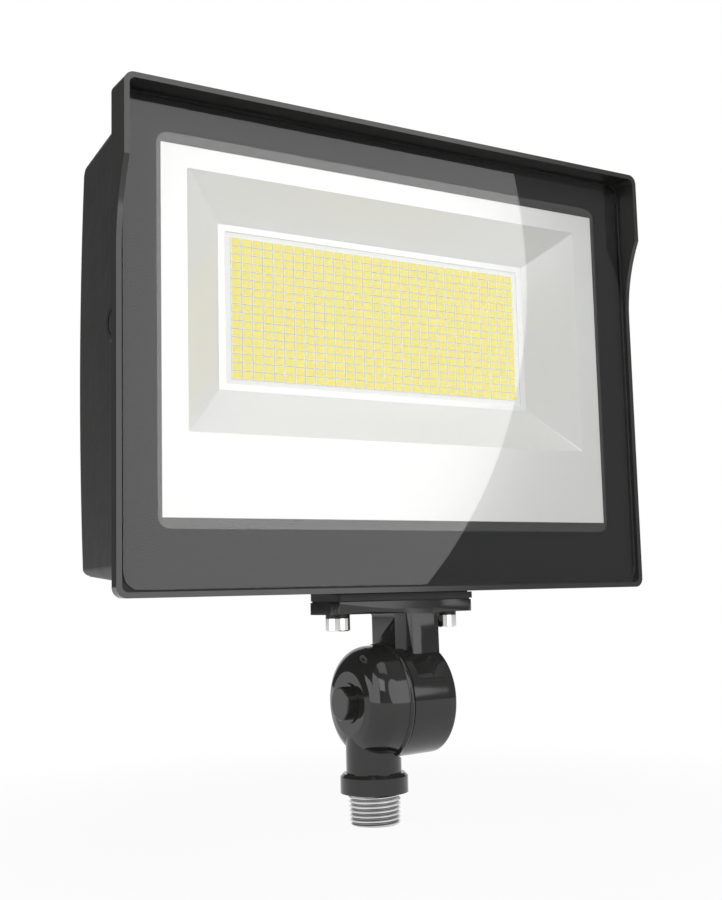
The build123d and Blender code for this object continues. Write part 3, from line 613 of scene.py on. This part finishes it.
select_none()
bpy.ops.mesh.primitive_plane_add(size=8, location=(0, 0, -12.45 * MM))
floor = bpy.context.object
settle(floor, "floor")
paper, tree, main = shader("white_paper", (0.5, 0.5, 0.5), 0.8)
bright = tree.nodes.new("ShaderNodeEmission")
bright.inputs["Strength"].default_value = 1.0
seen = background_rays(tree)
place = tree.nodes.new("ShaderNodeTexCoord")
distance = tree.nodes.new("ShaderNodeVectorMath")
distance.operation = "LENGTH"
link(tree, place, "Object", distance, "Vector")
white_share = tree.nodes.new("ShaderNodeMapRange")
white_share.interpolation_type = "SMOOTHSTEP"
white_share.inputs["From Min"].default_value = SHADOW_REACH[0]
white_share.inputs["From Max"].default_value = SHADOW_REACH[1]
white_share.inputs["To Min"].default_value = 1 - SHADOW_SHARE
link(tree, distance, "Value", white_share, "Value")
share = tree.nodes.new("ShaderNodeMath")
share.operation = "MULTIPLY"
link(tree, seen, "Value", share, 0)
link(tree, white_share, "Result", share, 1)
either = tree.nodes.new("ShaderNodeMixShader")
link(tree, share, "Value", either, "Fac")
tree.links.new(main.outputs["BSDF"], either.inputs[1])
tree.links.new(bright.outputs["Emission"], either.inputs[2])
link(tree, either, "Shader", tree.nodes["Material Output"], "Surface")
add_material(floor, paper)

world = bpy.data.worlds.new("studio")
bpy.context.scene.world = world
world.use_nodes = True
tree = world.node_tree
sky = tree.nodes["Background"]
sky.inputs["Color"].default_value = (1, 1, 1, 1)


def studio_wall(towards, start, end, low, high):
    """Brightness that rises from low to high as a direction turns towards one side of the studio."""
    place = tree.nodes.new("ShaderNodeTexCoord")
    facing = tree.nodes.new("ShaderNodeVectorMath")
    facing.operation = "DOT_PRODUCT"
    facing.inputs[1].default_value = towards
    level = tree.nodes.new("ShaderNodeMapRange")
    level.interpolation_type = "SMOOTHSTEP"
    level.inputs["From Min"].default_value = cos(radians(start))
    level.inputs["From Max"].default_value = cos(radians(end))
    level.inputs["To Min"].default_value = low
    level.inputs["To Max"].default_value = high
    link(tree, place, "Generated", facing, 0)
    link(tree, facing, "Value", level, "Value")
    return level


white_wall = studio_wall((0.517, 0.848, 0.117), 38, 27, 0.0, 1.0)
grey_wall = studio_wall((0.6, -0.8, 0.0), 130, 60, 0.08, 0.34)
backdrop = tree.nodes.new("ShaderNodeMath")
backdrop.operation = "MULTIPLY"
link(tree, white_wall, "Result", backdrop, 0)
link(tree, background_rays(tree), "Value", backdrop, 1)
brightest = tree.nodes.new("ShaderNodeMath")
brightest.operation = "MAXIMUM"
link(tree, backdrop, "Value", brightest, 0)
link(tree, grey_wall, "Result", brightest, 1)
link(tree, brightest, "Value", sky, "Strength")


def softbox(name, place, aim_at, size, watts, shape="ELLIPSE"):
    data = bpy.data.lights.new(name, "AREA")
    data.shape = shape
    data.size, data.size_y = size
    data.energy = watts
    lamp = bpy.data.objects.new(name, data)
    bpy.context.scene.collection.objects.link(lamp)
    lamp.location = place
    lamp.rotation_euler = (Vector(aim_at) - Vector(place)).to_track_quat("-Z", "Y").to_euler()
    lamp.visible_camera = False
    return lamp


SOFTBOX_R = 0.869
softbox("round_softbox", (0.438, -1.513, 0.726), (0.438, 0.0, 0.726), (2 * SOFTBOX_R, 2 * SOFTBOX_R),
        2.12 * pi * pi * SOFTBOX_R ** 2)
softbox("top_softbox", (-0.3, -0.6, 2.2), (0.0, 0.0, 0.15), (1.2, 1.2), 6.0, "RECTANGLE")
softbox("left_softbox", (-1.6, -0.05, 0.80), (0.0, -0.05, 0.80), (1.8, 1.6),
        2.2 * pi * 1.8 * 1.6, "RECTANGLE")
softbox("key_softbox", (-1.2, -1.2, 1.1), (0.0, 0.0, 0.15), (0.8, 0.8), 3.0 * pi * 0.8 * 0.8, "RECTANGLE")

bpy.context.scene.view_settings.view_transform = "Standard"
